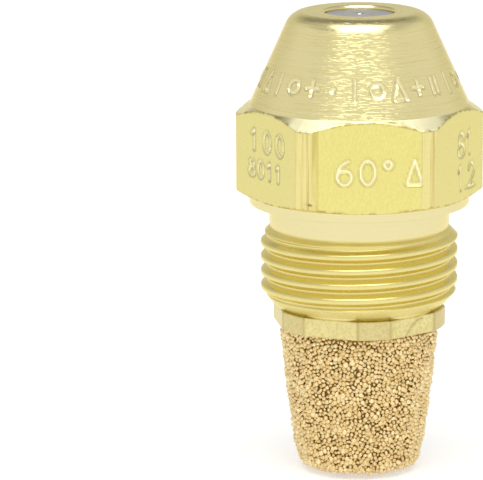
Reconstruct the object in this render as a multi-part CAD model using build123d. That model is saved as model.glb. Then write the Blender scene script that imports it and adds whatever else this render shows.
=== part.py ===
from build123d import *
import os
from math import cos, pi, radians, sin, tan

# Simplex oil burner nozzle, in millimetres. +Z points along the axis towards the spray orifice.
# The origin lies on the axis, on the rear face of the nozzle body, which seals in the adapter.
# Each function below makes one piece where it sits in the assembled nozzle.

# Threads, as plain cylinders of their major diameters
outer_thread_r = 7.10           # 9/16-24 UNEF, into the adapter
inner_thread_r = 4.76           # 3/8-32 UNEF, in the rear of the body
thread_play = 0.06              # radial running clearance of the inner threads

# Nozzle body: wrench hex
hex_across_flats = 15.9         # 5/8 in
hex_corner_r = 8.85             # corners turned down from the sharp hexagon
hex_bottom_z = 8.17
hex_edge_low_z = 8.50           # corner edges run straight between these two heights
hex_edge_high_z = 14.00
hex_shoulder_z = 14.74          # top of the shoulder, where the cone begins

# Nozzle body: cone and tip
tip_z = 21.32
tip_flat_r = 3.96
tip_round_r = 1.44              # round between the tip's flat and the cone
cone_half_angle = 24.3          # degrees, from the axis
tip_hole_r = 2.50
tip_hole_break = 0.15
tip_lip = 1.00                  # thickness of the lip that holds the disc

# Nozzle body: collar, neck and thread end
collar_r = 7.90
collar_bottom_z = 7.54
neck_r = 6.48
thread_top_z = 5.67
thread_chamfer = 0.70
bore_mouth_break = 0.30

# Chamber behind the lip
chamber_r = 3.65
chamber_bottom_z = 13.20

# Orifice disc
disc_r = 3.60
disc_thickness = 2.00
disc_boss_r = 2.44
disc_face_recess = 0.20         # the disc's face lies this far below the tip
disc_cone_r = 2.30              # mouth of the 90 degree cone in its back
orifice_r = 0.15
orifice_flare_r = 0.35

# Distributor
distributor_r = 2.90
distributor_bottom_z = 12.90
seat_gap = 0.03                 # between its nose and the disc's cone
nose_tip_r = 0.95
swirl_r = 0.70
swirl_depth = 0.50
swirl_slot_width = 0.40
swirl_slot_depth = 0.35
swirl_slot_length = 3.70
swirl_slots = 4

# Lock screw
screw_bottom_z = 8.50
screw_head_height = 2.10
screw_stem_r = 3.00
screw_bore_r = 1.40
screw_end_wall = 0.80
cross_hole_r = 0.60
cross_hole_z = 11.35
cross_holes = 4
driver_slot_width = 1.20
driver_slot_depth = 1.20

# Filter base
flange_thickness = 1.36
flange_across_flats = 11.85
flange_corner_r = 6.27
flange_clocking = 36.2          # degrees; where its thread stops when tight
nipple_height = 4.50
nipple_chamfer = 0.40
base_bore_r = 3.00
spigot_r = 4.20
spigot_length = 1.90

# Filter element: a sintered cup, slightly tapered
cup_mouth_r = 5.63
cup_taper_start = 0.75          # length of the straight band below the flange
cup_low_r = 4.62                # radius above the bottom's round
cup_bottom_round = 0.85
cup_depth = 10.60
cup_wall = 1.40
cup_inner_r = 3.87              # just below the socket for the spigot
spigot_play = 0.02


def revolved(profile):
    """A solid turned about Z from a closed outline of (radius, height) points."""
    return revolve(Plane.XZ * make_face(Polyline(*profile, close=True)), Axis.Z)


def cylinder(radius, low, high):
    """A cylinder about Z between two heights."""
    return Pos(0, 0, (low + high) / 2) * Cylinder(radius, high - low)


def hexagon_bar(across_flats, low, high, clocking=0):
    """A hexagonal bar about Z between two heights. Clocking 0 puts a corner on +X."""
    section = RegularPolygon(across_flats / 2, 6, major_radius=False, rotation=clocking)
    return extrude(Pos(0, 0, low) * section, high - low)


def nozzle_body():
    """Hexagon brass body: cone and tip above the hexagon, collar, neck and thread below it."""
    lean = radians(cone_half_angle)
    round_centre_z = tip_z - tip_round_r
    middle = (lean + pi / 2) / 2
    round_end = (tip_flat_r + tip_round_r * cos(lean), round_centre_z + tip_round_r * sin(lean))
    round_middle = (tip_flat_r + tip_round_r * cos(middle), round_centre_z + tip_round_r * sin(middle))
    cone_base_r = round_end[0] + (round_end[1] - hex_shoulder_z) * tan(lean)
    lower_outline = Polyline(
        (tip_flat_r, tip_z),
        (0, tip_z),
        (0, 0),
        (outer_thread_r - thread_chamfer, 0),
        (outer_thread_r, thread_chamfer),
        (outer_thread_r, thread_top_z),
        (neck_r, thread_top_z),
        (neck_r, collar_bottom_z),
        (collar_r, collar_bottom_z),
        (collar_r, hex_bottom_z),
        (hex_across_flats / 2, hex_bottom_z),
        (hex_corner_r, hex_edge_low_z),
        (hex_corner_r, hex_edge_high_z),
        (cone_base_r, hex_shoulder_z),
        round_end,
    )
    tip_round = ThreePointArc(round_end, round_middle, (tip_flat_r, tip_z))
    turned = revolve(Plane.XZ * make_face((lower_outline + tip_round).edges()), Axis.Z)
    body = turned & hexagon_bar(hex_across_flats, 0, tip_z)
    cavity = revolved([
        (0, 0),
        (inner_thread_r + bore_mouth_break, 0),
        (inner_thread_r, bore_mouth_break),
        (inner_thread_r, chamber_bottom_z),
        (chamber_r, chamber_bottom_z),
        (chamber_r, tip_z - tip_lip),
        (tip_hole_r, tip_z - tip_lip),
        (tip_hole_r, tip_z - tip_hole_break),
        (tip_hole_r + tip_hole_break, tip_z),
        (0, tip_z),
    ])
    return body - cavity


def orifice_disc():
    """Steel disc under the lip: a boss in the tip hole, the orifice, and a 90 degree cone behind it."""
    top = tip_z - tip_lip
    back = top - disc_thickness
    face = tip_z - disc_face_recess
    return revolved([
        (disc_cone_r, back),
        (disc_r, back),
        (disc_r, top),
        (disc_boss_r, top),
        (disc_boss_r, face),
        (orifice_flare_r, face),
        (orifice_r, face - (orifice_flare_r - orifice_r)),
        (orifice_r, back + disc_cone_r - orifice_r),
    ])


def distributor():
    """Steel plug behind the disc. Slots cut along its cone, tangent to the swirl recess, spin the oil."""
    disc_back = tip_z - tip_lip - disc_thickness
    apex_z = disc_back + disc_cone_r - seat_gap * 2 ** 0.5
    shoulder_z = disc_back - seat_gap
    nose_z = apex_z - nose_tip_r
    plug = revolved([
        (0, distributor_bottom_z),
        (distributor_r, distributor_bottom_z),
        (distributor_r, shoulder_z),
        (apex_z - shoulder_z, shoulder_z),
        (nose_tip_r, nose_z),
        (0, nose_z),
    ])
    flank_r = (nose_tip_r + apex_z - shoulder_z) / 2
    groove = Box(swirl_slot_width, swirl_slot_length, 2 * swirl_slot_depth)
    groove = Pos(swirl_r - swirl_slot_width / 2, flank_r, apex_z - flank_r) * Rot(-45, 0, 0) * groove
    for turn in range(swirl_slots):
        plug -= Rot(0, 0, turn * 360 / swirl_slots) * groove
    return plug - cylinder(swirl_r, nose_z - swirl_depth, nose_z)


def lock_screw():
    """Hollow brass screw that presses the distributor into the disc, with a driver slot in its rear."""
    head_top = screw_bottom_z + screw_head_height
    screw = cylinder(inner_thread_r - thread_play, screw_bottom_z, head_top)
    screw += cylinder(screw_stem_r, head_top, distributor_bottom_z)
    screw -= cylinder(screw_bore_r, screw_bottom_z, distributor_bottom_z - screw_end_wall)
    hole = Rot(0, 90, 0) * Cylinder(cross_hole_r, screw_stem_r)
    hole = Pos(screw_bore_r / 2 + screw_stem_r / 2, 0, cross_hole_z) * hole
    for turn in range(cross_holes):
        screw -= Rot(0, 0, turn * 360 / cross_holes) * hole
    slot = Box(2.2 * inner_thread_r, driver_slot_width, driver_slot_depth)
    return screw - Pos(0, 0, screw_bottom_z + driver_slot_depth / 2) * slot


def filter_base():
    """Brass base of the filter: a thin hexagon flange, a threaded nipple above and a spigot below."""
    nipple_r = inner_thread_r - thread_play
    flange = cylinder(flange_corner_r, -flange_thickness, 0)
    flange &= hexagon_bar(flange_across_flats, -flange_thickness, 0, flange_clocking)
    nipple = revolved([
        (0, 0),
        (nipple_r, 0),
        (nipple_r, nipple_height - nipple_chamfer),
        (nipple_r - nipple_chamfer, nipple_height),
        (0, nipple_height),
    ])
    spigot_end = -flange_thickness - spigot_length
    spigot = cylinder(spigot_r, spigot_end, -flange_thickness)
    return flange + nipple + spigot - cylinder(base_bore_r, spigot_end, nipple_height)


def filter_element():
    """Sintered bronze cup on the base's spigot, with a closed rounded bottom."""
    mouth = -flange_thickness
    bottom = mouth - cup_depth
    socket_r = spigot_r + spigot_play
    socket_end = mouth - spigot_length - spigot_play
    outline = Polyline(
        (0, bottom),
        (0, bottom + cup_wall),
        (cup_low_r - cup_wall, bottom + cup_wall),
        (cup_inner_r, socket_end),
        (socket_r, socket_end),
        (socket_r, mouth),
        (cup_mouth_r, mouth),
        (cup_mouth_r, mouth - cup_taper_start),
        (cup_low_r, bottom + cup_bottom_round),
    )
    bottom_round = TangentArc(
        (cup_low_r, bottom + cup_bottom_round),
        (cup_low_r - cup_bottom_round, bottom),
        tangent=(0, -1),
    )
    floor_line = Line((cup_low_r - cup_bottom_round, bottom), (0, bottom))
    section = make_face((outline + bottom_round + floor_line).edges())
    return revolve(Plane.XZ * section, Axis.Z)


os.makedirs("parts", exist_ok=True)
export_step(nozzle_body(), "parts/nozzle_body.step")
export_step(orifice_disc(), "parts/orifice_disc.step")
export_step(distributor(), "parts/distributor.step")
export_step(lock_screw(), "parts/lock_screw.step")
export_step(filter_base(), "parts/filter_base.step")
export_step(filter_element(), "parts/filter_element.step")
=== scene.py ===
from math import cos, pi, radians, sin, tan

import bpy
import numpy as np
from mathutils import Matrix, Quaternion, Vector


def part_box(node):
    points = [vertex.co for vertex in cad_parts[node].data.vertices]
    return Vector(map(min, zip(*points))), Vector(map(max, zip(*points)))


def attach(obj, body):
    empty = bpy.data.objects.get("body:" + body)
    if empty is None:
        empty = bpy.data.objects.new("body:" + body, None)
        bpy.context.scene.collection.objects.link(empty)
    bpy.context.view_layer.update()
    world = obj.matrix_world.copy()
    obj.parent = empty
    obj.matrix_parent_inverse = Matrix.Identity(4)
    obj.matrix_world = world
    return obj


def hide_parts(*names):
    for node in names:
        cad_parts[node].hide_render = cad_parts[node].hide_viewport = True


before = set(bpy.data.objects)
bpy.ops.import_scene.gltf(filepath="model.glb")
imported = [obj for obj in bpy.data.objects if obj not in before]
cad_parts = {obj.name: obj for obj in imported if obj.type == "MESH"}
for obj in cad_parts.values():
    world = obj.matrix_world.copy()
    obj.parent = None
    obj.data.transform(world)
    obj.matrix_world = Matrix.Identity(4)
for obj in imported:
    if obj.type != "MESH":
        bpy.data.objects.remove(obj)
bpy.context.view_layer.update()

# Oil burner nozzle. Shapes are worked out in millimetres about its axis, with the body's rear sealing face at
# height 0, and turned into metres when a mesh is made.
MM = 0.001

body_high = np.array(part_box("nozzle_body")[1]) / MM
flange_low, flange_high = np.array(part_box("filter_base")) / MM
cup_low, cup_high = np.array(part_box("filter_element")) / MM
disc_low, disc_high = np.array(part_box("orifice_disc")) / MM

# Nozzle body
tip_z = body_high[2]
hex_corner_r = body_high[0]
hex_flat_r = body_high[1]
hex_half_flat = np.arccos(hex_flat_r / hex_corner_r)  # angle from a flat's middle to its edge
hex_edge_high_z = 14.00
hex_edge_low_z = 8.50
hex_low_z = 8.17
cone_base_r = 7.86
cone_base_z = 14.74
cone_lean = radians(24.3)
tip_round_r = 1.44
tip_hole_r = 2.50
tip_hole_break = 0.15
tip_lip = 1.00  # thickness of the lip that holds the orifice disc in
collar_r = 7.90
collar_low_z = 7.54
neck_r = 6.48
bore_r = 4.76
bore_break = 0.30
bore_thread_high_z = 4.90
bore_end_z = 13.20
chamber_r = 3.65
flat_front = -pi / 2  # direction that the front flat faces

# Threads
outer_crest_r = 7.10
outer_pitch = 25.4 / 24
outer_start_z = 5.70
outer_crest_z = 5.116  # height of a crest on the +X side
outer_root_r = 6.62
outer_end_r = 6.22
outer_end_z = 0.23
end_chamfer = 0.90  # rise in radius for each mm up from the rear end
rear_face_r = 6.02
# Below this height the thread's roots get no painted groove shade
root_shade_low_z = 0.90
inner_pitch = 25.4 / 32
inner_depth = 0.42
inner_crest_z = 0.40  # height of a crest on the +X side

# Struck marks and wear on the body
sign_width = 0.14
flat_sign_depth = 0.15
band_sign_depth = 0.12
band_sign_height = 1.48
band_r = 6.72  # radius of the cone at the band of signs
band_base_z = 16.00
nick_angle = -radians(117)
nick_z = 8.87
nick_height = 0.14
nick_depth = 0.10
streak_on_front = (-3.90, -3.40)  # where a corner's streaks run on over the front flat

# Filter base and filter
flange_flat_r = 11.85 / 2
flange_corner_r = 6.27
flange_turn = radians(36.2)
flange_low_z = -1.36
nipple_r = 4.70
nipple_high_z = flange_high[2]
nipple_chamfer = 0.40
undercut = 0.35
base_bore_r = 3.00
spigot_r = 4.20
spigot_low_z = flange_low[2]
rub_angle = radians(-60)
rub_depth = 0.06
cup_mouth_r = cup_high[0]
cup_bottom_z = cup_low[2]
cup_straight = 0.75  # height of the cup's straight part below its mouth
cup_taper = 0.965
cup_bulge = 0.39
cup_wall = 1.40
cup_inset = 0.24  # depth of the cup's wall under the grains
cup_socket_r = spigot_r + 0.02
cup_inside_r = 3.87
grain_count = 4400
grain_size = 0.190  # mean radius of a grain
grain_deepest = 0.20


# ---- meshes

def add_attribute(mesh, name, values):
    """One number for each vertex, for the piece's own material to read."""
    layer = mesh.attributes.new(name, "FLOAT", "POINT")
    layer.data.foreach_set("value", np.ascontiguousarray(values, dtype=np.float32))


def add_mesh(name, points, quads, triangles):
    """A smooth mesh from an array of points in millimetres and arrays of four and three point numbers."""
    mesh = bpy.data.meshes.new(name)
    corners = np.concatenate([quads.ravel(), triangles.ravel()])
    sizes = np.concatenate([np.full(len(quads), 4), np.full(len(triangles), 3)])
    starts = np.concatenate([[0], np.cumsum(sizes)[:-1]])
    mesh.vertices.add(len(points))
    mesh.vertices.foreach_set("co", (points * MM).astype(np.float32).ravel())
    mesh.loops.add(len(corners))
    mesh.loops.foreach_set("vertex_index", corners.astype(np.int32))
    mesh.polygons.add(len(sizes))
    mesh.polygons.foreach_set("loop_start", starts.astype(np.int32))
    mesh.polygons.foreach_set("use_smooth", np.full(len(sizes), True))
    mesh.update(calc_edges=True)
    mesh.validate()
    piece = bpy.data.objects.new(name, mesh)
    bpy.context.scene.collection.objects.link(piece)
    return piece


def strip_faces(start_a, count_a, start_b, count_b):
    """Faces between two closed rings: quads where they have as many points, and three triangles for each side
    of the coarser one where the other has twice its points."""
    if count_a == count_b:
        i = np.arange(count_a)
        j = (i + 1) % count_a
        return np.stack([start_a + i, start_b + i, start_b + j, start_a + j], 1), np.empty((0, 3), int)
    fine_first = count_a > count_b
    coarse, fine, coarse_start, fine_start = (
        (count_b, count_a, start_b, start_a) if fine_first else (count_a, count_b, start_a, start_b)
    )
    i = np.arange(coarse)
    here, after = coarse_start + i, coarse_start + (i + 1) % coarse
    left, middle, right = (fine_start + (2 * i + k) % fine for k in range(3))
    fans = np.concatenate([
        np.stack([here, left, middle], 1),
        np.stack([here, middle, after], 1),
        np.stack([after, middle, right], 1),
    ])
    return np.empty((0, 4), int), fans[:, ::-1] if fine_first else fans


def ring_mesh(name, rings, closed=True, attributes=None):
    """A surface through a list of closed rings, each an array of points. When closed, the last ring joins the
    first, as on a tube bent into itself; otherwise each end ring is closed by a fan about its middle."""
    counts = [len(ring) for ring in rings]
    starts = np.concatenate([[0], np.cumsum(counts)])
    points = np.concatenate(rings)
    pairs = list(zip(range(len(rings)), range(1, len(rings))))
    if closed:
        pairs.append((len(rings) - 1, 0))
    parts = [strip_faces(starts[a], counts[a], starts[b], counts[b]) for a, b in pairs]
    quads = np.concatenate([p[0] for p in parts])
    triangles = np.concatenate([p[1] for p in parts])
    if not closed:
        first, last = np.arange(counts[0]), starts[-2] + np.arange(counts[-1])
        poles = len(points) + np.arange(2)
        points = np.concatenate([points, rings[0].mean(0)[None], rings[-1].mean(0)[None]])
        triangles = np.concatenate([
            triangles,
            np.stack([np.full(counts[0], poles[0]), first, np.roll(first, -1)], 1),
            np.stack([np.full(counts[-1], poles[1]), np.roll(last, -1), last], 1),
        ])
    piece = add_mesh(name, points, quads, triangles)
    for key, values in (attributes or {}).items():
        values = np.concatenate(values)
        add_attribute(piece.data, key, values if closed else np.append(values, [0, 0]))
    return piece


def outline(corners, sides, closed=True, arc_steps=3):
    """Rings of (radius, height) down a jointed outline that may differ from column to column. Each corner is
    (radius, height, cut): a round arc that starts and ends `cut` away along its two sides. sides gives the
    number of steps along the side after each corner. Returns the rings and the side that each lies on."""
    columns = max(np.size(np.asarray(value)) for corner in corners for value in corner[:2])
    places = np.stack([
        np.stack([np.broadcast_to(np.asarray(value, float), columns) for value in corner[:2]], 1)
        for corner in corners
    ])
    count = len(corners)
    rings, side_of = [], []
    ends = []
    for k in range(count):
        here = places[k]
        if not closed and k in (0, count - 1):
            ends.append((here, here))
            continue
        back = places[k - 1] - here
        ahead = places[(k + 1) % count] - here
        back /= np.linalg.norm(back, axis=1, keepdims=True)
        ahead /= np.linalg.norm(ahead, axis=1, keepdims=True)
        ends.append((here + back * corners[k][2], here + ahead * corners[k][2]))
    for k in range(count):
        here = places[k]
        start, end = ends[k]
        if corners[k][2] > 0:
            back = start - here
            ahead = end - here
            spread = (back * ahead).sum(1) / corners[k][2] ** 2
            weight = np.sin(np.arccos(np.clip(spread, -1, 1)) / 2)[:, None]
            steps = corners[k][3] if len(corners[k]) > 3 else arc_steps
            for t in np.linspace(0, 1, steps + 1):
                a, b, c = (1 - t) ** 2, 2 * t * (1 - t) * weight, t ** 2
                rings.append((a * start + b * here + c * end) / (a + b + c))
                side_of.append(k if t > 0.5 else k - 1)
        else:
            rings.append(here.copy())
            side_of.append(k)
        if k == count - 1 and not closed:
            break
        following = ends[(k + 1) % count][0]
        for t in np.linspace(0, 1, sides[k] + 1)[1:-1]:
            rings.append(end + (following - end) * t)
            side_of.append(k)
    return rings, np.array(side_of)


def named_outline(walk):
    """A closed outline from rows of (side's name, steps along it, corner it starts from): grids of the radius
    and height, one row for each ring, and which rings lie on each side."""
    names, sides, corners = zip(*walk)
    rings, side = outline(corners, sides)
    grid = np.stack(rings)
    return grid[..., 0], grid[..., 1].copy(), {name: (side == k)[:, None] for k, name in enumerate(names)}


def hexagon_columns(flat_r, corner_r, turn, flat_steps, strip_steps):
    """Columns round a hexagon with turned corners, lined up with the flats' edges: their angles, the radius,
    which is the nearer of the flat's line, flat_r / cos, and the turned corner, and whether each is on a
    corner's strip."""
    half = np.arccos(flat_r / corner_r)
    flat = np.linspace(-half, half, flat_steps + 1)[:-1]
    strip = np.linspace(half, pi / 3 - half, strip_steps + 1)[:-1]
    local = np.concatenate([flat, strip])
    radius = np.minimum(corner_r, flat_r / np.cos(local))
    radius[flat_steps:] = corner_r
    angles = np.concatenate([turn + k * pi / 3 + local for k in range(6)])
    return angles, np.tile(radius, 6), np.tile(np.arange(len(local)) >= flat_steps, 6)


def turned_rings(rings, columns):
    """An outline's rings as closed circles of points about the axis."""
    angles = np.linspace(0, 2 * pi, columns + 1)[:-1]
    return [
        np.stack([ring[0, 0] * np.cos(angles), ring[0, 0] * np.sin(angles), np.full(columns, ring[0, 1])], 1)
        for ring in rings
    ]


def smooth_step(low, high, value):
    """0 below low, 1 above high, and an S-shaped rise between them."""
    t = np.clip((value - low) / (high - low), 0, 1)
    return t * t * (3 - 2 * t)


def turned_from(angles, facing):
    """Angles measured from a direction, from -pi to pi."""
    return (angles - facing + pi) % (2 * pi) - pi


def thread_height(angle, z, pitch, crest_z):
    """How far up a right-hand thread's ridge a point lies, from 0 in the root to 1 on the crest. The ridge
    climbs one pitch a turn; its crest is slightly crowned, and S-shaped flanks lead into a narrow root."""
    phase = (z - crest_z) / pitch - angle / (2 * pi)
    away = np.abs(phase - np.round(phase)) * 2
    return (1 - smooth_step(0.22, 0.92, away)) * (1 - 0.08 * np.clip(away / 0.4, 0, 1) ** 2)


def value_noise(x, y, seed):
    """Smooth noise from -1 to 1 on a plane: random numbers on whole coordinates, blended between them."""
    table = np.random.default_rng(seed).uniform(-1, 1, (64, 64))
    xi, yi = np.floor(x).astype(int), np.floor(y).astype(int)
    fx, fy = x - xi, y - yi
    fx, fy = fx * fx * (3 - 2 * fx), fy * fy * (3 - 2 * fy)
    corner = [table[(xi + a) % 64, (yi + b) % 64] for a in (0, 1) for b in (0, 1)]
    return (corner[0] * (1 - fx) + corner[2] * fx) * (1 - fy) + (corner[1] * (1 - fx) + corner[3] * fx) * fy


# ---- stamped marks

def bow(cx, cy, rx, ry, start, end, steps=14):
    """Points along part of an ellipse, from one angle to another in degrees."""
    a = np.radians(np.linspace(start, end, steps))
    return np.stack([cx + rx * np.cos(a), cy + ry * np.sin(a)], 1)


# Strokes of the plain signs, in a cell 0.6 wide and 1 high
signs = {
    "0": [bow(0.3, 0.5, 0.3, 0.5, 0, 360, 20)],
    "1": [np.array([(0.08, 0.78), (0.3, 1.0), (0.3, 0.0)])],
    "2": [bow(0.3, 0.7, 0.28, 0.3, 170, -35), np.array([(0.53, 0.53), (0.02, 0.0), (0.6, 0.0)])],
    "6": [bow(0.3, 0.3, 0.3, 0.3, 0, 360, 18), bow(0.62, 0.33, 0.62, 0.67, 180, 105, 8)],
    "8": [bow(0.3, 0.76, 0.23, 0.24, 0, 360, 16), bow(0.3, 0.26, 0.3, 0.26, 0, 360, 18)],
    ".": [np.array([(0.28, 0.02), (0.32, 0.02)])],
    "degree": [bow(0.18, 0.82, 0.16, 0.16, 0, 360, 12)],
    "fan": [np.array([(0.0, 0.0), (0.32, 1.0), (0.64, 0.0), (0.0, 0.0)])],
    "bar": [np.array([(0.3, 0.0), (0.3, 1.0)])],
    "ring": [bow(0.3, 0.5, 0.3, 0.32, 0, 360, 18)],
    "cross": [np.array([(0.0, 0.5), (0.6, 0.5)]), np.array([(0.3, 0.15), (0.3, 0.85)])],
    "dot": [bow(0.3, 0.5, 0.07, 0.07, 0, 360, 8)],
    "pair": [np.array([(0.15, 0.1), (0.15, 0.9)]), np.array([(0.45, 0.1), (0.45, 0.9)])],
}

# Runs of signs by flat, counted round from the front: signs, left edge, base line, height and step
flat_signs = {
    0: [(("6", "0", "degree", "fan"), -2.10, 10.27, 1.70, 1.63)],
    1: [(("8", "1"), -0.30, 11.40, 1.70, 1.35), (("1", ".", "2"), -0.40, 9.00, 1.70, 0.90)],
    5: [(("1", "0", "0"), -1.95, 11.87, 1.47, 1.65), (("8", "0", "1", "1"), -2.20, 9.96, 1.20, 1.15)],
}

# Signs of the cone's band, which come round twice
band_signs = (
    "ring", "fan", "cross", "pair", "bar", "ring", "dot",
    "pair", "fan", "bar", "ring", "cross", "dot", "bar",
)


def strokes(names, left, base, height, step):
    """Line pieces, as (start, end) rows, of a run of signs from a left edge and a base line."""
    pieces = []
    for place, name in enumerate(names):
        for path in signs[name]:
            path = path * height + (left + place * step, base)
            pieces.append(np.stack([path[:-1], path[1:]], 1))
    return np.concatenate(pieces)


def stroke_distance(u, v, pieces):
    """Distance from each point (u, v) to the nearest of the line pieces."""
    nearest = np.full(u.shape, 1e3)
    for (ax, ay), (bx, by) in pieces:
        dx, dy = bx - ax, by - ay
        t = np.clip(((u - ax) * dx + (v - ay) * dy) / (dx * dx + dy * dy + 1e-12), 0, 1)
        nearest = np.minimum(nearest, np.hypot(u - ax - t * dx, v - ay - t * dy))
    return nearest


def stamp_depth(distance, width, depth):
    """Depth of a struck mark by distance from its stroke: a rounded groove, less a lip beside it."""
    groove = depth * (1 - smooth_step(0.15 * width, width, distance))
    lip = 0.22 * depth * np.exp(-(((distance - 1.25 * width) / (0.35 * width)) ** 2))
    return groove - lip


# ---- nozzle body

def cut_threads(radius, height, angle, on):
    """The radius with both threads on it, and how far up the outer ridge each point lies. The outer ridge
    stays under a cone at each end. The bore's thread is cut into its wall and fades at its ends."""
    ridge = thread_height(angle, height, outer_pitch, outer_crest_z)
    wanted = outer_root_r + (outer_crest_r - outer_root_r) * ridge
    start_cone = neck_r + outer_start_z - height
    end_cone = outer_end_r + (height - outer_end_z) * end_chamfer
    outside = np.maximum(np.minimum(wanted, np.minimum(start_cone, end_cone)), outer_end_r)
    radius = np.where(on["thread"], outside, radius)
    inner_ridge = thread_height(angle, height, inner_pitch, inner_crest_z)
    fade = smooth_step(0.35, 0.7, height) * smooth_step(4.85, 4.5, height)
    return np.where(on["bore_thread"], radius + inner_depth * (1 - inner_ridge) * fade, radius), ridge


def strike_flats(points, mark, angles, radius, height, rows):
    """Pushes the flats' signs in, square to each flat. u runs to the right as the flat is faced."""
    for number, runs in flat_signs.items():
        facing = flat_front + number * pi / 3
        turned_by = turned_from(angles, facing)
        chosen = np.flatnonzero(np.abs(turned_by) < hex_half_flat)
        window = np.ix_(rows, chosen)
        u = radius[window] * np.sin(turned_by[chosen])
        pieces = np.concatenate([strokes(*run) for run in runs])
        depth = stamp_depth(stroke_distance(u, height[window], pieces), sign_width, flat_sign_depth)
        points[..., 0][window] -= depth * cos(facing)
        points[..., 1][window] -= depth * sin(facing)
        mark[window] = depth / flat_sign_depth


def strike_band(points, mark, angles, height, rows):
    """Pushes the band of plain signs into the cone, along its normal. u is the distance round the cone, v the
    height up its side."""
    names = band_signs * 2
    u = (angles - flat_front) % (2 * pi) * band_r
    v = (height[rows] - band_base_z) / cos(cone_lean)
    pieces = strokes(names, 0.30, 0.08, band_sign_height, 2 * pi * band_r / len(names))
    distance = stroke_distance(np.broadcast_to(u, v.shape), v, pieces)
    depth = stamp_depth(distance, sign_width, band_sign_depth)
    points[rows, :, 0] -= depth * cos(cone_lean) * np.cos(angles)
    points[rows, :, 1] -= depth * cos(cone_lean) * np.sin(angles)
    points[rows, :, 2] -= depth * sin(cone_lean)
    mark[rows] = 0.7 * depth / band_sign_depth


def flat_layers(angles, strip):
    """For each column, how much it is a sanded flat, the front one most, and how much a streaked corner. The
    other flats' lower share also gives them a darker, greyer colour: painted shade.
    """
    from_front = turned_from(angles, flat_front)
    along_front = hex_flat_r * np.tan(np.clip(from_front, -1, 1))
    left, right = streak_on_front
    streaked = (along_front > left) & (along_front < right)
    flat = np.where(strip, 0.0, np.where(np.abs(from_front) < hex_half_flat, 1.0, 0.55))
    return flat, np.where(strip, 1.0, np.where(streaked, 0.8, 0.0))


def edge_wear(angles, height, hex_top, hex_bottom):
    """Nearness to the hexagon's top and bottom edges, a bell curve of the gap, and 2.2 in the nick."""
    gap = np.minimum(np.abs(height - hex_top), np.abs(height - hex_bottom))
    from_nick = turned_from(angles, flat_front) - (nick_angle - flat_front)
    nick = np.exp(-(from_nick / 0.030) ** 2 - ((height - nick_z) / nick_height) ** 2)
    return np.maximum(np.exp(-(gap / 0.07) ** 2), 2.2 * nick)


def ring_steps(on):
    """Which columns each ring keeps: all on the cone, shoulder and flats, every fourth in the bore, and every
    second elsewhere and where those would meet."""
    fine = on["cone"] | on["shoulder"] | on["flats"]
    coarse = on["bore_thread"] | on["bore"] | on["bore_end"] | on["chamber"] | on["lip"]
    every = np.where(fine, 1, np.where(coarse, 4, 2))[:, 0]
    for k in range(len(every)):
        if every[k] == 4 and every[k - 1] == 1:
            every[k] = 2
    return every


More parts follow.
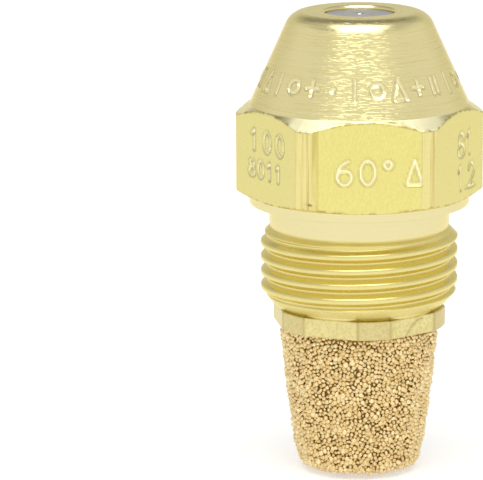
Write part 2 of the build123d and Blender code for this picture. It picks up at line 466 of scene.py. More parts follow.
def make_nozzle_body():
    """The body's whole skin as one closed sheet, from the tip down the outside and back up the bore. The
    hexagon's edges are where its flats meet the turned shoulder and chamfer, slightly ragged. The threads are
    added to the radius, and the struck marks are pushed in along the normal."""
    angles, hex_r, strip = hexagon_columns(hex_flat_r, hex_corner_r, flat_front, 66, 10)
    ragged = 0.011 * value_noise(angles * 37, angles * 3, 5) + 0.008 * value_noise(angles * 83, angles * 7, 6)
    shoulder_slope = (cone_base_z - hex_edge_high_z) / (hex_corner_r - cone_base_r)
    chamfer_slope = (hex_edge_low_z - hex_low_z) / (hex_corner_r - hex_flat_r)
    hex_top = hex_edge_high_z + (hex_corner_r - hex_r) * shoulder_slope + ragged
    hex_bottom = hex_edge_low_z - (hex_corner_r - hex_r) * chamfer_slope + np.roll(ragged, 41)
    collar_high_z = hex_edge_low_z - (hex_corner_r - collar_r) * chamfer_slope
    round_cut = tip_round_r * tan((pi / 2 - cone_lean) / 2)
    round_corner_r = cone_base_r - (tip_z - cone_base_z) * tan(cone_lean)
    lip_z = tip_z - tip_lip
    radius, height, on = named_outline([
        ("tip_rim", 2, (tip_hole_r, tip_z - tip_hole_break, 0.03)),
        ("tip_flat", 7, (tip_hole_r + tip_hole_break, tip_z, 0.05)),
        ("cone", 50, (round_corner_r, tip_z, round_cut, 12)),
        ("shoulder", 7, (cone_base_r, cone_base_z, 0.06)),
        ("flats", 56, (hex_r, hex_top, 0.05)),
        ("chamfer", 3, (hex_r, hex_bottom, 0.04)),
        ("collar", 5, (collar_r, collar_high_z, 0.03)),
        ("under", 5, (collar_r, collar_low_z, 0.05)),
        ("neck", 6, (neck_r, collar_low_z, 0.15)),
        ("thread", 76, (neck_r, outer_start_z + 0.1, 0)),
        ("rear_edge", 3, (outer_end_r, outer_end_z, 0.05)),
        ("rear_face", 2, (rear_face_r, 0.0, 0.03)),
        ("bore_edge", 2, (bore_r + bore_break, 0.0, 0.03)),
        ("bore_thread", 38, (bore_r, bore_break, 0.03)),
        ("bore", 3, (bore_r, bore_thread_high_z, 0)),
        ("bore_end", 3, (bore_r, bore_end_z, 0.05)),
        ("chamber", 3, (chamber_r, bore_end_z, 0.05)),
        ("lip", 2, (chamber_r, lip_z, 0.05)),
        ("tip_hole", 2, (tip_hole_r, lip_z, 0.05)),
    ])
    angle = np.broadcast_to(angles, radius.shape)
    radius, ridge = cut_threads(radius, height, angle, on)
    nick = np.exp(-((angle - nick_angle) / 0.028) ** 2 - ((height - nick_z) / nick_height) ** 2)
    radius = radius - nick_depth * nick * on["flats"]
    points = np.stack([radius * np.cos(angle), radius * np.sin(angle), height], -1)
    mark = np.zeros_like(radius)
    strike_flats(points, mark, angles, radius, height, np.flatnonzero(on["flats"]))
    strike_band(points, mark, angles, height, np.flatnonzero(on["cone"]))

    turned = on["cone"] | on["tip_flat"] | on["shoulder"] | on["collar"] | on["under"] | on["neck"]
    near_hexagon = on["flats"] | on["shoulder"] | on["chamfer"]
    flat, streaked = flat_layers(angles, strip)
    burnish = smooth_step(hex_flat_r + 0.15, hex_flat_r + 0.65, hex_r)
    values = {
        "turned": np.where(turned, 1.0, 0.0),
        "flat": np.where(on["flats"], flat, 0.0),
        "strip": np.where(on["flats"], streaked, 0.0),
        "edge": np.where(near_hexagon, edge_wear(angles, height, hex_top, hex_bottom), 0.0),
        # The roots' share, which tints them deeper gold: painted groove shade
        "root": np.where(on["thread"] & (height > root_shade_low_z), np.sqrt(1 - ridge), 0.0),
        "thread": np.where(on["thread"], 1.0, 0.0),
        "mark": mark,
        "burnish": np.where(on["shoulder"], burnish, 0.0),
        "cone": np.where(on["cone"] | on["tip_flat"], 1.0, np.where(turned, 0.25, 0.0)),
    }
    every = ring_steps(on)
    rings = [row[::step] for row, step in zip(points, every)]
    layers = {
        key: [row[::step] for row, step in zip(np.broadcast_to(layer, radius.shape), every)]
        for key, layer in values.items()
    }
    return ring_mesh("nozzle_body_skin", rings, True, layers)


# ---- filter base

def make_filter_base():
    """Hexagon flange, threaded nipple above it and plain spigot below it, as one closed sheet about its bore.
    The nipple's thread is cut into its wall, and a rub mark curves across one flat."""
    facing = flange_turn - pi / 6
    angles, hex_r, strip = hexagon_columns(flange_flat_r, flange_corner_r, facing, 32, 16)
    radius, z, on = named_outline([
        ("nipple_end", 4, (base_bore_r, nipple_high_z, 0.06)),
        ("nipple_edge", 3, (nipple_r - nipple_chamfer, nipple_high_z, 0.05)),
        ("nipple", 62, (nipple_r, nipple_high_z - nipple_chamfer, 0.04)),
        ("runout", 2, (nipple_r, 0.35, 0)),
        ("undercut", 2, (nipple_r - undercut, 0.15, 0.04)),
        ("flange_top", 5, (nipple_r - undercut, 0.0, 0.03)),
        ("flange", 16, (hex_r, 0.0, 0.06)),
        ("flange_bottom", 4, (hex_r, flange_low_z, 0.07)),
        ("spigot", 6, (spigot_r, flange_low_z, 0.05)),
        ("spigot_end", 3, (spigot_r, spigot_low_z, 0.08)),
        ("bore", 8, (base_bore_r, spigot_low_z, 0.08)),
    ])
    angle = np.broadcast_to(angles, radius.shape)
    ridge = thread_height(angle, z, inner_pitch, inner_crest_z)
    fade = smooth_step(0.35, 0.6, z) * smooth_step(nipple_high_z - 0.45, nipple_high_z - 0.75, z)
    radius = np.where(on["nipple"], radius - inner_depth * (1 - ridge) * fade, radius)
    points = np.stack([radius * np.cos(angle), radius * np.sin(angle), z], -1)

    turned_by = turned_from(angles, rub_angle)
    half_flat = np.arccos(flange_flat_r / flange_corner_r)
    chosen = np.flatnonzero(np.abs(turned_by) < half_flat)
    window = np.ix_(np.flatnonzero(on["flange"]), chosen)
    u = radius[window] * np.sin(turned_by[chosen])
    path = bow(1.7, -2.9, 2.0, 2.75, 152, 95, 10)
    pieces = np.stack([path[:-1], path[1:]], 1)
    depth = stamp_depth(stroke_distance(u, z[window], pieces), 0.13, rub_depth)
    points[..., 0][window] -= depth * cos(rub_angle)
    points[..., 1][window] -= depth * sin(rub_angle)
    groove = np.zeros_like(radius)
    groove[window] = depth / rub_depth

    lower_edge = 0.5 * np.exp(-(np.abs(z - flange_low_z) / 0.07) ** 2)
    from_middle = np.abs((angles - facing + pi / 6) % (pi / 3) - pi / 6)
    border = 0.7 * np.exp(-((from_middle - half_flat) / 0.018) ** 2)
    near_flange = on["flange_top"] | on["flange"] | on["flange_bottom"]
    values = {
        "strip": np.where(on["flange"] & strip, 1.0, 0.0),
        "edge": np.where(near_flange, np.maximum(border, lower_edge), 0.0),
        # The roots' share, tinted deeper gold: painted groove shade
        "root": np.where(on["nipple"], (1 - ridge) * fade, 0.0),
        "groove": groove,
    }
    layers = {key: list(np.broadcast_to(layer, radius.shape)) for key, layer in values.items()}
    return ring_mesh("filter_base_skin", list(points), True, layers)


# ---- filter element

def cup_radius(z):
    """The cup's outer radius at a height: straight below the flange, then a slightly bulging taper."""
    taper_z = cup_high[2] - cup_straight
    depth = np.clip((taper_z - z) / (taper_z - cup_bottom_z), 0, 1)
    return cup_mouth_r - 0.05 - cup_taper * depth - cup_bulge * depth ** 3


def grain_places(count, rng):
    """Points spread evenly over the cup's side and bottom, with their outward normals. The profile is walked
    at equal steps of area, each point at a random angle. Then each is pushed off its near neighbours, a few
    times over, by 1 - distance / push_distance along the line between the two."""
    round_r = 0.70
    floor_z = cup_bottom_z + 0.20
    reach = 190  # points further apart than this in order along the profile are never near
    push_rounds = 14
    push_distance = 0.40
    push_step = 0.10
    low_r = cup_radius(floor_z + round_r)
    side_z = np.linspace(cup_high[2], floor_z + round_r, 200)
    side_part = np.stack([cup_radius(side_z), side_z], 1)
    turn = np.linspace(0, pi / 2, 40)[1:]
    bend = np.stack([low_r - round_r + round_r * np.cos(turn), floor_z + round_r - round_r * np.sin(turn)], 1)
    flat_r = np.linspace(low_r - round_r, 0, 60)[1:]
    floor_part = np.stack([flat_r, np.full(len(flat_r), floor_z)], 1)
    profile = np.concatenate([side_part, bend, floor_part])
    step = np.hypot(*np.diff(profile, axis=0).T)
    area = np.concatenate([[0], np.cumsum(step * (profile[1:, 0] + profile[:-1, 0]) / 2)])
    share = (np.arange(count) + rng.uniform(0, 1, count)) / count * area[-1]
    angle = rng.uniform(-pi, pi, count)
    length = np.concatenate([[0], np.cumsum(step)])
    along = np.interp(share, area, length)

    def on_cup(along, angle):
        """The point at a length along the profile and an angle round the axis."""
        r, z = np.interp(along, length, profile[:, 0]), np.interp(along, length, profile[:, 1])
        return np.stack([r * np.cos(angle), r * np.sin(angle), z], 1)

    beside = np.concatenate([np.arange(-reach, 0), np.arange(1, reach + 1)])
    near = np.arange(count)[:, None] + beside
    real = (near >= 0) & (near < count)
    near = np.clip(near, 0, count - 1)
    for _ in range(push_rounds):
        order = np.argsort(along)
        along, angle = along[order], angle[order]
        here = on_cup(along, angle)
        gap = here[:, None] - here[near]
        distance = np.sqrt((gap ** 2).sum(-1)) + 1e-6
        weight = np.clip(1 - distance / push_distance, 0, None) * real
        force = (gap * (weight / distance)[..., None]).sum(1)
        around = np.stack([-np.sin(angle), np.cos(angle), 0 * angle], 1)
        ahead = on_cup(along + 0.05, angle) - on_cup(along - 0.05, angle)
        ahead /= np.linalg.norm(ahead, axis=1, keepdims=True) + 1e-9
        radius = np.maximum(np.hypot(here[:, 0], here[:, 1]), 0.4)
        along = np.clip(along + push_step * (force * ahead).sum(1), 0, length[-1])
        angle = angle + push_step * (force * around).sum(1) / radius
    here = on_cup(along, angle)
    ahead = on_cup(along + 0.02, angle) - on_cup(along - 0.02, angle)
    around = np.stack([-np.sin(angle), np.cos(angle), 0 * angle], 1)
    normal = np.cross(ahead, around)
    normal /= np.linalg.norm(normal, axis=1, keepdims=True) + 1e-9
    return here, normal


def random_turns(count, rng):
    """Random rotation matrices, from unit quaternions of normally spread numbers."""
    q = rng.normal(size=(count, 4))
    w, x, y, z = (q / np.linalg.norm(q, axis=1, keepdims=True)).T
    return np.stack([
        np.stack([1 - 2 * (y * y + z * z), 2 * (x * y - z * w), 2 * (x * z + y * w)], 1),
        np.stack([2 * (x * y + z * w), 1 - 2 * (x * x + z * z), 2 * (y * z - x * w)], 1),
        np.stack([2 * (x * z - y * w), 2 * (y * z + x * w), 1 - 2 * (x * x + y * y)], 1),
    ], 1)


def octahedron_ball():
    """An eight-sided ball with every side cut in four: 18 points and 32 triangles, all on the unit sphere."""
    tips = [(1, 0, 0), (0, 1, 0), (-1, 0, 0), (0, -1, 0), (0, 0, 1), (0, 0, -1)]
    points = [np.array(tip, float) for tip in tips]
    faces = []
    middles = {}

    def middle(a, b):
        """The number of the point half way between two, pushed out to the sphere."""
        key = (min(a, b), max(a, b))
        if key not in middles:
            point = points[a] + points[b]
            middles[key] = len(points)
            points.append(point / np.linalg.norm(point))
        return middles[key]

    for k in range(4):
        for a, b, c in ((k, (k + 1) % 4, 4), ((k + 1) % 4, k, 5)):
            ab, bc, ca = middle(a, b), middle(b, c), middle(c, a)
            faces += [(a, ab, ca), (ab, b, bc), (ca, bc, c), (ab, bc, ca)]
    return np.array(points), np.array(faces)


def make_filter_grains():
    """Sintered grains: lumpy balls of random size, stretch and turn, sunk half way into the cup's skin."""
    rng = np.random.default_rng(20)
    places, normals = grain_places(grain_count, rng)
    ball, faces = octahedron_ball()
    size = grain_size * rng.uniform(0.80, 1.15, (grain_count, 1, 1))
    stretch = rng.uniform(0.70, 1.38, (grain_count, 1, 3))
    lumps = rng.uniform(0.90, 1.10, (grain_count, len(ball), 1))
    shapes = ball[None] * lumps * stretch * size
    shapes = np.einsum("nij,nkj->nki", random_turns(grain_count, rng), shapes)
    sink = rng.uniform(0.02, grain_deepest, (grain_count, 1))
    centres = places - normals * sink
    points = (shapes + centres[:, None]).reshape(-1, 3)
    triangles = (faces[None] + np.arange(grain_count)[:, None, None] * len(ball)).reshape(-1, 3)
    piece = add_mesh("filter_grains", points, np.empty((0, 4), int), triangles)
    add_attribute(piece.data, "tint", np.repeat(rng.uniform(0, 1, grain_count), len(ball)))
    # How deep each grain is sunk, which darkens it with painted shade
    add_attribute(piece.data, "depth", np.repeat((sink / grain_deepest).ravel(), len(ball)))
    return piece


def make_filter_cup():
    """The cup's wall under the grains: out along the bottom, up the side, over the mouth, down the inside."""
    low_r = cup_radius(cup_bottom_z + 0.85) - cup_inset
    socket_z = spigot_low_z - 0.02
    bottom_z = cup_bottom_z + cup_inset
    inside_z = cup_bottom_z + cup_wall
    heights = np.linspace(cup_bottom_z + 1.0, cup_high[2] - 0.8, 14)
    corners = [
        (0.3, bottom_z, 0),
        (low_r, bottom_z, 0.7, 8),
        *((cup_radius(z) - cup_inset, z, 0) for z in heights),
        (cup_mouth_r - cup_inset, cup_high[2], 0.05),
        (cup_socket_r, cup_high[2], 0.05),
        (cup_socket_r, socket_z, 0.03),
        (cup_inside_r, socket_z, 0.05),
        (low_r - cup_wall, inside_z, 0.4, 5),
        (0.3, inside_z, 0),
    ]
    sides = [8] + [2] * (len(corners) - 2)
    rings, _ = outline(corners, sides, closed=False)
    rings = [ring[::-1] for ring in turned_rings(rings, 96)]
    return ring_mesh("filter_cup", rings, closed=False)


# ---- orifice disc

def make_orifice_disc():
    """The steel disc as a closed sheet about its orifice: face, boss, flange, back and the cone behind it."""
    low, high = disc_low[2], disc_high[2]
    flange_z = tip_z - tip_lip
    boss_r = tip_hole_r - 0.06
    corners = [
        (0.15, high - 0.20, 0.02),
        (0.35, high, 0.05),
        (boss_r, high, 0.06),
        (boss_r, flange_z, 0.03),
        (disc_high[0], flange_z, 0.08),
        (disc_high[0], low, 0.08),
        (2.30, low, 0.05),
        (0.15, low + 2.15, 0.02),
    ]
    rings, _ = outline(corners, [3, 12, 4, 3, 4, 3, 6, 3])
    return ring_mesh("orifice_disc_skin", turned_rings(rings, 144))


# ---- materials

class Finish:
    """A material whose nodes are added one after another. Numbers set a socket and nodes are linked to it."""

    def __init__(self, name):
        self.material = bpy.data.materials.new(name)
        self.material.use_nodes = True
        self.nodes = self.material.node_tree.nodes
        self.links = self.material.node_tree.links
        self.shader = self.nodes["Principled BSDF"]

    def feed(self, socket, value):
        """Links a node's output to a socket, or sets the socket to a number or a colour."""
        if isinstance(value, bpy.types.NodeSocket):
            self.links.new(value, socket)
        elif isinstance(value, tuple) and socket.type == "RGBA" and len(value) == 3:
            socket.default_value = (*value, 1)
        else:
            socket.default_value = value

    def add(self, kind, out=0, sockets=None, **settings):
        """A new node with its settings and sockets; gives back one output."""
        node = self.nodes.new(kind)
        for key, value in settings.items():
            setattr(node, key, value)
        for key, value in (sockets or {}).items():
            self.feed(node.inputs[key], value)
        return node.outputs[out]

    def place(self, scale=(1, 1, 1)):
        """Object coordinates in millimetres, stretched by scale."""
        spot = self.add("ShaderNodeTexCoord", "Object")
        return self.add("ShaderNodeMapping", sockets={"Vector": spot, "Scale": tuple(s / MM for s in scale)})

    def noise(self, where, scale, detail=3.0, roughness=0.5):
        return self.add("ShaderNodeTexNoise", "Fac", sockets={
            "Vector": where, "Scale": scale, "Detail": detail, "Roughness": roughness})

    def math(self, operation, a, b=0.0, clamp=False):
        return self.add("ShaderNodeMath", sockets={0: a, 1: b}, operation=operation, use_clamp=clamp)

    def span(self, value, low, high, to_low=0.0, to_high=1.0):
        """A straight rise from to_low at low to to_high at high, level beyond."""
        return self.add("ShaderNodeMapRange", sockets={
            "Value": value, "From Min": low, "From Max": high, "To Min": to_low, "To Max": to_high})

    def mix(self, share, a, b):
        """Colour a where share is 0, colour b where it is 1."""
        node = self.nodes.new("ShaderNodeMix")
        node.data_type = "RGBA"
        self.feed(node.inputs["Factor"], share)
        self.feed(node.inputs[6], a)
        self.feed(node.inputs[7], b)
        return node.outputs[2]

    def layer(self, name):
        """One of the piece's own attributes."""
        return self.add("ShaderNodeAttribute", "Fac", attribute_name=name)

    def bump(self, height, strength, distance, normal=None):
        """A normal from a height whose full rise is distance, in millimetres, on top of another normal."""
        sockets = {"Height": height, "Strength": strength, "Distance": distance * MM}
        if normal is not None:
            sockets["Normal"] = normal
        return self.add("ShaderNodeBump", sockets=sockets)

    def turning(self, across, around):
        """Where to read noise for lathe rings: fast along height less radius, and slow round the axis."""
        spot = self.place()
        level = self.add("ShaderNodeVectorMath", sockets={0: spot, 1: (1, 1, 0)}, operation="MULTIPLY")
        radius = self.add("ShaderNodeVectorMath", "Value", sockets={0: level}, operation="LENGTH")
        height = self.add("ShaderNodeSeparateXYZ", "Z", sockets={"Vector": spot})
        slowing = (around, around, 0)
        slow = self.add("ShaderNodeVectorMath", sockets={0: level, 1: slowing}, operation="MULTIPLY")
        profile = self.math("MULTIPLY", self.math("SUBTRACT", height, radius), across)
        fast = self.add("ShaderNodeCombineXYZ", sockets={"Z": profile})
        return self.add("ShaderNodeVectorMath", sockets={0: fast, 1: slow}, operation="ADD")

    def done(self, color, roughness, normal, metallic=1.0):
        """Sets the shader's own sockets and gives back the material."""
        self.feed(self.shader.inputs["Base Color"], color)
        self.feed(self.shader.inputs["Roughness"], roughness)
        self.feed(self.shader.inputs["Metallic"], metallic)
        self.feed(self.shader.inputs["Normal"], normal)
        return self.material


# Colours of the body's brass
plain_colors = ((0.76, 0.67, 0.31), (0.84, 0.74, 0.37))
turned_color = (0.82, 0.73, 0.39)
cone_ring_color = (0.66, 0.56, 0.25)
neck_color = (0.73, 0.65, 0.35)
burnished_color = (1.0, 0.94, 0.62)
# Darker, greyer colour of the flats other than the front one: painted shade
side_flat_shade_color = (0.63, 0.57, 0.29)
front_flat_colors = ((0.71, 0.63, 0.20), (0.79, 0.71, 0.27))
corner_colors = ((0.73, 0.64, 0.25), (0.48, 0.35, 0.08))
thread_colors = ((0.69, 0.59, 0.23), (0.77, 0.67, 0.29))
# Deeper gold of the thread's roots: painted groove shade
root_shade_color = (0.75, 0.64, 0.25)
burr_color = (0.38, 0.29, 0.09)
nick_color = (0.24, 0.17, 0.05)
# Painted highlight in the struck marks' grooves, and painted shade on the lips beside them
struck_highlight_color = (1.0, 0.95, 0.72)
struck_lip_shade_color = (0.52, 0.42, 0.14)


def body_brass():
    """Machined brass: lathe rings on the turned faces, a fine sandy grain on the flats, dark streaks on the
    turned corners and ragged dark burrs along the hexagon's edges. Painted shade makes the thread's roots a
    deeper gold and the flats other than the front one darker; the struck marks carry a painted highlight in
    their grooves and painted shade on their lips."""
    m = Finish("body_brass")
    flat, strip, edge = m.layer("flat"), m.layer("strip"), m.layer("edge")
    turned, root, thread, cone = m.layer("turned"), m.layer("root"), m.layer("thread"), m.layer("cone")
    mark, burnish = m.layer("mark"), m.layer("burnish")
    cloud = m.noise(m.place(), 0.45, 4)
    grain = m.noise(m.place((9, 9, 5)), 1.0, 5, 0.65)
    drawn = m.noise(m.place((3.4, 3.4, 0.10)), 1.0, 4, 0.6)
    burr = m.noise(m.place((2.2, 2.2, 1.0)), 1.0, 3, 0.6)
    rings = m.noise(m.turning(7.0, 0.15), 1.0, 4, 0.7)
    chatter = m.noise(m.turning(9.0, 1.5), 1.0, 2, 0.5)

    color = m.mix(cloud, *plain_colors)
    color = m.mix(m.math("MULTIPLY", turned, m.span(rings, 0.35, 0.65), True), color, turned_color)
    dark_rings = m.span(rings, 0.42, 0.28, 0.0, 0.6)
    color = m.mix(m.math("MULTIPLY", cone, dark_rings, True), color, cone_ring_color)
    color = m.mix(m.math("SUBTRACT", turned, m.span(cone, 0.3, 0.9), True), color, neck_color)
    color = m.mix(burnish, color, burnished_color)
    # The flats other than the front one get a darker, greyer colour: painted shade
    side_flat = m.mix(m.math("GREATER_THAN", flat, 0.1), color, side_flat_shade_color)
    color = m.mix(flat, side_flat, m.mix(m.span(grain, 0.3, 0.7), *front_flat_colors))
    streaks = m.mix(m.span(drawn, 0.47, 0.64), *corner_colors)
    color = m.mix(m.math("MULTIPLY", strip, 0.7), color, streaks)
    color = m.mix(thread, color, m.mix(cloud, *thread_colors))
    # Deeper gold in the thread's roots: painted groove shade
    color = m.mix(m.math("MULTIPLY", root, 0.9), color, root_shade_color)
    color = m.mix(m.math("MULTIPLY", edge, m.span(burr, 0.46, 0.62), True), color, burr_color)
    color = m.mix(m.math("SUBTRACT", edge, 1.0, True), color, nick_color)
    # Painted highlight in the struck marks' grooves, painted shade on their lips
    color = m.mix(m.span(mark, 0.25, 0.9, 0, 0.85), color, struck_highlight_color)
    color = m.mix(m.span(mark, -0.02, -0.15, 0, 0.5), color, struck_lip_shade_color)

    rough = m.span(rings, 0.3, 0.7, 0.16, 0.28)
    for layer, gain in ((flat, 0.16), (burnish, 0.22), (thread, 0.07)):
        rough = m.math("ADD", rough, m.math("MULTIPLY", layer, gain))

    dashes = m.math("MULTIPLY", m.span(chatter, 0.56, 0.68), 0.85)
    ring_height = m.math("MULTIPLY", m.math("ADD", m.math("MULTIPLY", rings, 0.6), dashes), cone)
    sanding = m.math("ADD", grain, m.math("MULTIPLY", drawn, 0.6))
    flat_height = m.math("MULTIPLY", sanding, m.math("ADD", flat, strip))
    normal = m.bump(ring_height, 0.5, 0.015)
    normal = m.bump(flat_height, 0.5, 0.010, normal)
    normal = m.bump(m.noise(m.place((1, 1, 6)), 2.0, 4), 0.2, 0.006, normal)
    m.feed(m.shader.inputs["Specular Tint"], (1.0, 0.94, 0.70))
    return m.done(color, rough, normal)


def base_brass():
    """Sanded brass of the filter base: an even fine tooth, duller corners and a dark rub mark."""
    m = Finish("filter_base_brass")
    cloud = m.noise(m.place(), 0.8, 4)
    tooth = m.noise(m.place(), 4.5, 5, 0.75)
    color = m.mix(cloud, (0.72, 0.62, 0.27), (0.84, 0.74, 0.36))
    color = m.mix(m.math("MULTIPLY", m.layer("strip"), 0.5), color, (0.62, 0.51, 0.24))
    color = m.mix(m.span(tooth, 0.38, 0.58), m.mix(0.40, color, (0.36, 0.29, 0.10)), color)
    # Darker along the borders of the flats and along the flange's lower edge, broken up by the tooth
    dark_edge_share = m.math("MULTIPLY", m.layer("edge"), m.span(tooth, 0.35, 0.55, 0.2, 0.8))
    color = m.mix(dark_edge_share, color, (0.30, 0.23, 0.06))
    color = m.mix(m.math("MULTIPLY", m.layer("groove"), 0.6, True), color, (0.42, 0.33, 0.10))
    # Deeper gold in the nipple thread's roots: painted groove shade
    color = m.mix(m.math("MULTIPLY", m.layer("root"), 0.7), color, (0.80, 0.62, 0.18))
    rough = m.span(tooth, 0.3, 0.7, 0.34, 0.5)
    return m.done(color, rough, m.bump(tooth, 0.8, 0.03))


def sintered_grains():
    """Bronze grains: each its own shade from tan to pinkish gold, darker the deeper it is sunk: painted shade
    between the grains.
    """
    m = Finish("sintered_bronze_grains")
    tint = m.layer("tint")
    speck = m.noise(m.place(), 5.0, 3)
    color = m.mix(tint, (0.80, 0.61, 0.29), (0.98, 0.85, 0.52))
    color = m.mix(m.span(speck, 0.5, 0.7), color, (0.92, 0.70, 0.36))
    # Painted shade: the deeper a grain is sunk, the darker it is
    color = m.mix(m.math("MULTIPLY", m.layer("depth"), 0.5), color, (0.56, 0.38, 0.14))
    rough = m.span(tint, 0, 1, 0.34, 0.5)
    return m.done(color, rough, m.bump(m.noise(m.place(), 9.0, 3), 0.35, 0.02), 0.8)


def pore_shade_bronze():
    """Dark bronze for the cup's wall under the grains: painted shade seen in the pores between them."""
    m = Finish("sintered_bronze_pore_shade")
    pits = m.noise(m.place(), 3.5, 4)
    color = m.mix(pits, (0.28, 0.175, 0.045), (0.50, 0.33, 0.11))
    return m.done(color, m.span(pits, 0.3, 0.7, 0.55, 0.75), m.bump(pits, 0.8, 0.08), 0.6)


def orifice_steel():
    """Lapped stainless steel with faint rings about the orifice."""
    m = Finish("orifice_steel")
    rings = m.noise(m.turning(7.0, 0.5), 1.0, 4, 0.6)
    haze = m.noise(m.place(), 1.3, 4)
    color = m.mix(haze, (0.42, 0.42, 0.42), (0.56, 0.56, 0.54))
    return m.done(color, m.span(rings, 0.3, 0.7, 0.26, 0.4), m.bump(rings, 0.4, 0.006))


def turned_metal(name, across, dark, bright, smoothest, roughest):
    """Turned metal whose lathe rings run from one shade, and one roughness, to another."""
    m = Finish(name)
    rings = m.noise(m.turning(across, 0.5), 1.0, 5, 0.65)
    color = m.mix(m.span(rings, 0.3, 0.7), dark, bright)
    return m.done(color, m.span(rings, 0.3, 0.7, smoothest, roughest), m.bump(rings, 0.5, 0.01))


def pale_floor():
    """Matte white studio floor, lit from below as well, with the faintest mottling."""
    m = Finish("studio_floor")
    mottle = m.noise(m.place(), 0.02, 3)
    color = m.mix(mottle, (0.62, 0.62, 0.62), (0.65, 0.65, 0.65))
    m.feed(m.shader.inputs["Emission Color"], (1, 1, 1))
    m.feed(m.shader.inputs["Emission Strength"], 0.46)
    return m.done(color, 0.85, m.bump(mottle, 0.1, 0.05), 0.0)


def dress(piece, material):
    """Gives a piece one material in place of any it has."""
    piece.data.materials.clear()
    piece.data.materials.append(material)


# ---- assembly

body = make_nozzle_body()
dress(body, body_brass())
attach(body, "nozzle")
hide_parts("nozzle_body")

base = make_filter_base()
dress(base, base_brass())
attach(base, "filter_base")
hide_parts("filter_base")

cup = make_filter_cup()
# The cup's wall is dark bronze: painted shade in the pores between the grains
dress(cup, pore_shade_bronze())
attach(cup, "filter_element")
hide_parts("filter_element")

grains = make_filter_grains()
dress(grains, sintered_grains())
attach(grains, "filter_element")
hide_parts("filter_element")

disc = make_orifice_disc()
dress(disc, orifice_steel())
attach(disc, "nozzle")
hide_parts("orifice_disc")

steel = turned_metal("distributor_steel", 8.0, (0.46, 0.46, 0.45), (0.62, 0.61, 0.59), 0.22, 0.36)
brass = turned_metal("lock_screw_brass", 7.0, (0.72, 0.58, 0.22), (0.86, 0.75, 0.40), 0.24, 0.38)
for node, material in (("distributor", steel), ("lock_screw", brass)):
    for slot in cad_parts[node].material_slots:
        slot.material = material


# ---- studio

# The camera stands a little left of the front flat, looks slightly down and is turned aside, so that the
# nozzle stands right of the middle of the view. Angles are in degrees and lengths in metres.
camera_azimuth = -4.0
camera_elevation = 12.6
camera_distance = 0.272
camera_lens = 280.8
aim_height = 0.00349
aim_left = 1.788
aim_up = 0.228
camera_roll = 0.12

# Brightness of the tent's walls by height, from the level of the nozzle (0) to straight above it (1)
wall_tones = ((0.0, 0.92), (0.30, 0.86), (0.52, 0.89), (0.75, 0.63), (1.0, 0.52))

# Shades over the tent, each from where it starts to where it is full, and its brightness there
front_shade = (-0.35, -0.85, 1.12)
back_shade = (0.35, 0.75, 0.84)
back_ceiling_shade = (0.30, 0.42, 0.48)


def add_floor():
    """A wide floor just under the filter's foot."""
    half = 3.0
    corners = [(-half, -half), (half, -half), (half, half), (-half, half)]
    height = cup_bottom_z * MM - 0.0002
    mesh = bpy.data.meshes.new("floor")
    mesh.from_pydata([(x, y, height) for x, y in corners], [], [(0, 1, 2, 3)])
    floor = bpy.data.objects.new("floor", mesh)
    bpy.context.scene.collection.objects.link(floor)
    mesh.materials.append(pale_floor())


def add_softbox(name, azimuth, elevation, distance, width, height, power):
    """A rectangular area light aimed at the middle of the nozzle. Azimuth 0 is the camera's side, positive to
    its right."""
    light = bpy.data.lights.new(name, "AREA")
    light.shape = "RECTANGLE"
    light.size = width
    light.size_y = height
    light.energy = power
    lamp = bpy.data.objects.new(name, light)
    a, e = radians(azimuth + camera_azimuth), radians(elevation)
    middle = Vector((0, 0, 0.008))
    lamp.location = middle + distance * Vector((sin(a) * cos(e), -cos(a) * cos(e), sin(e)))
    lamp.rotation_euler = (middle - lamp.location).to_track_quat("-Z", "Y").to_euler()
    lamp.visible_camera = False
    bpy.context.scene.collection.objects.link(lamp)


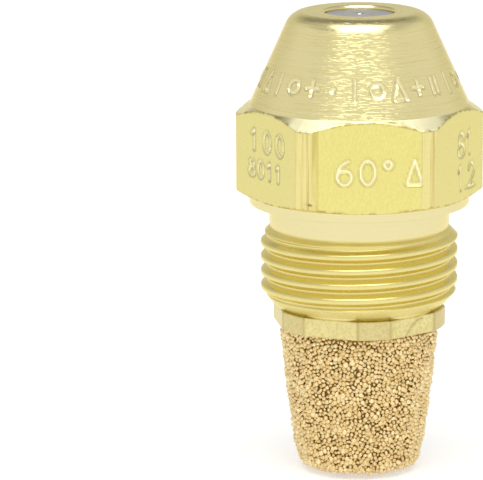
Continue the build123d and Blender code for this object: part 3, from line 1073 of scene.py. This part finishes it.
def add_sky():
    """A white tent: pale walls that darken towards the ceiling, brighter behind the camera and dimmer at the
    back. The camera itself sees plain white."""
    world = bpy.data.worlds.new("studio")
    world.use_nodes = True
    nodes, links = world.node_tree.nodes, world.node_tree.links
    walls = nodes["Background"]

    def shade(value, start, end, tone):
        """1 up to start and tone past end, with a straight fall between."""
        node = nodes.new("ShaderNodeMapRange")
        links.new(value, node.inputs["Value"])
        for name, number in (("From Min", start), ("From Max", end), ("To Min", 1.0), ("To Max", tone)):
            node.inputs[name].default_value = number
        return node.outputs["Result"]

    def product(a, b):
        """a times b."""
        node = nodes.new("ShaderNodeMath")
        node.operation = "MULTIPLY"
        links.new(a, node.inputs[0])
        links.new(b, node.inputs[1])
        return node.outputs[0]

    where = nodes.new("ShaderNodeTexCoord")
    part = nodes.new("ShaderNodeSeparateXYZ")
    ramp = nodes.new("ShaderNodeValToRGB")
    links.new(where.outputs["Generated"], part.inputs["Vector"])
    back, up = part.outputs["Y"], part.outputs["Z"]
    links.new(up, ramp.inputs["Fac"])
    links.new(ramp.outputs["Color"], walls.inputs["Color"])
    sides = product(shade(back, *front_shade), shade(back, *back_shade))
    links.new(product(sides, shade(product(back, up), *back_ceiling_shade)), walls.inputs["Strength"])
    stops = ramp.color_ramp.elements
    while len(stops) < len(wall_tones):
        stops.new(0.5)
    for stop, (height, tone) in zip(stops, wall_tones):
        stop.position = height
        stop.color = (tone, tone, 0.985 * tone, 1)

    seen = nodes.new("ShaderNodeBackground")
    seen.inputs["Color"].default_value = (1, 1, 1, 1)
    path = nodes.new("ShaderNodeLightPath")
    blend = nodes.new("ShaderNodeMixShader")
    links.new(path.outputs["Is Camera Ray"], blend.inputs["Fac"])
    links.new(walls.outputs["Background"], blend.inputs[1])
    links.new(seen.outputs["Background"], blend.inputs[2])
    links.new(blend.outputs["Shader"], nodes["World Output"].inputs["Surface"])
    bpy.context.scene.world = world


def add_camera():
    """The camera, aimed at a point on the axis and then turned aside from it."""
    camera = bpy.data.objects.new("camera", bpy.data.cameras.new("camera"))
    camera.data.lens = camera_lens
    camera.data.clip_start = 0.01
    a, e = radians(camera_azimuth), radians(camera_elevation)
    target = Vector((0, 0, aim_height))
    away = Vector((sin(a) * cos(e), -cos(a) * cos(e), sin(e)))
    camera.location = target + camera_distance * away
    straight = (-away).to_track_quat("-Z", "Y")
    spot = Vector((tan(radians(aim_left)), -tan(radians(aim_up)), -1)).normalized()
    aside = spot.rotation_difference(Vector((0, 0, -1)))
    camera.rotation_mode = "QUATERNION"
    camera.rotation_quaternion = straight @ aside @ Quaternion((0, 0, 1), radians(camera_roll))
    bpy.context.scene.collection.objects.link(camera)
    bpy.context.scene.camera = camera


add_camera()
add_floor()
add_sky()
add_softbox("key_softbox", azimuth=0, elevation=72.5, distance=0.65, width=0.60, height=0.53, power=2.8)
bpy.context.scene.view_settings.view_transform = "Standard"
